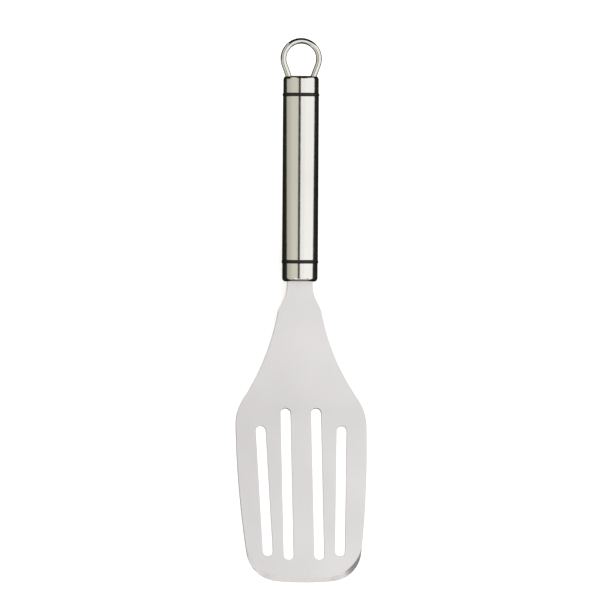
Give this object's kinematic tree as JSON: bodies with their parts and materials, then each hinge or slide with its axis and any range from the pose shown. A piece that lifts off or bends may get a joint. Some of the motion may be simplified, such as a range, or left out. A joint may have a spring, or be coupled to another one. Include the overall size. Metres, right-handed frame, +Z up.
{
  "type": "hamburger turner",
  "caption": "Long slotted steel turner whose flared blade sweeps up to a round hollow handle with black spacer rings, capped ends and a wire hanging loop.",
  "frame": {"origin": "on the surface that the blade lies flat on, under the middle of the whole length and on the centre line", "axes": "+Z up, square to the flat blade; +Y along the turner from the blade to the hanging loop; +X to the right, seen from above with the loop away from the viewer"},
  "size_m": [0.079, 0.3244, 0.0498],
  "materials": {
    "blade_steel": "fine brushed stainless sheet",
    "handle_steel": "satin turned stainless tube and caps",
    "wire_steel": "polished stainless wire",
    "ring_rubber": "black, slightly glossy",
    "plug_nylon": "moulded black nylon, hidden inside the handle"
  },
  "bodies": {
    "root": {"blade": "blade_steel", "front_cap": "handle_steel", "front_ring": "ring_rubber", "front_plug": "plug_nylon", "handle_tube": "handle_steel", "rear_plug": "plug_nylon", "rear_ring": "ring_rubber", "rear_cap": "handle_steel", "hanging_loop": "wire_steel"}
  },
  "joints": []
}
